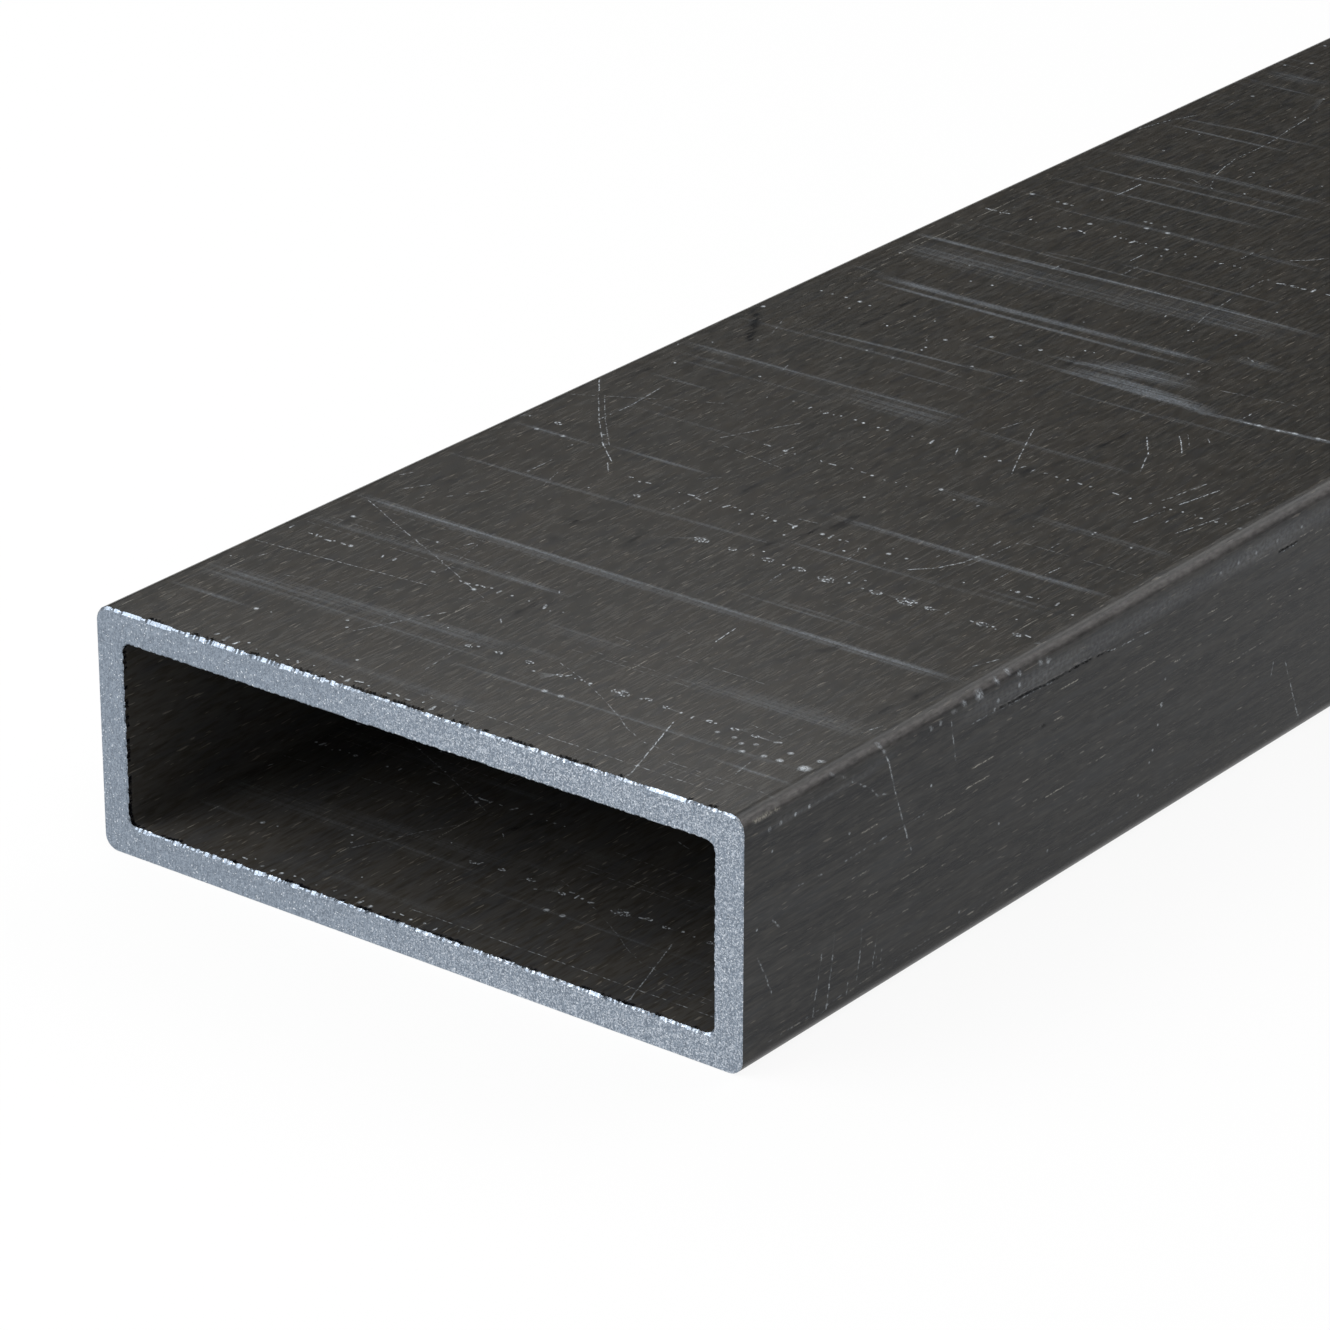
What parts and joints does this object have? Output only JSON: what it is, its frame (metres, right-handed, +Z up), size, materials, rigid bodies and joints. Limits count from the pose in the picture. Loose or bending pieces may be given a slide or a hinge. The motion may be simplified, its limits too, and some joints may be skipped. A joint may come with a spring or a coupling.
{
  "type": "rectangular steel tube",
  "caption": "Rectangular hollow steel section with rounded corners and square sawn ends, a length of dark mill-finish stock for frames and brackets.",
  "frame": {"origin": "on the surface that the tube lies on, under the middle of its length and width", "axes": "+Z up through the narrow height, +Y along the length, +X across the wide face"},
  "size_m": [0.06, 1, 0.02],
  "materials": {
    "mill_steel": "satin"
  },
  "bodies": {
    "root": {"tube": "mill_steel"}
  },
  "joints": []
}
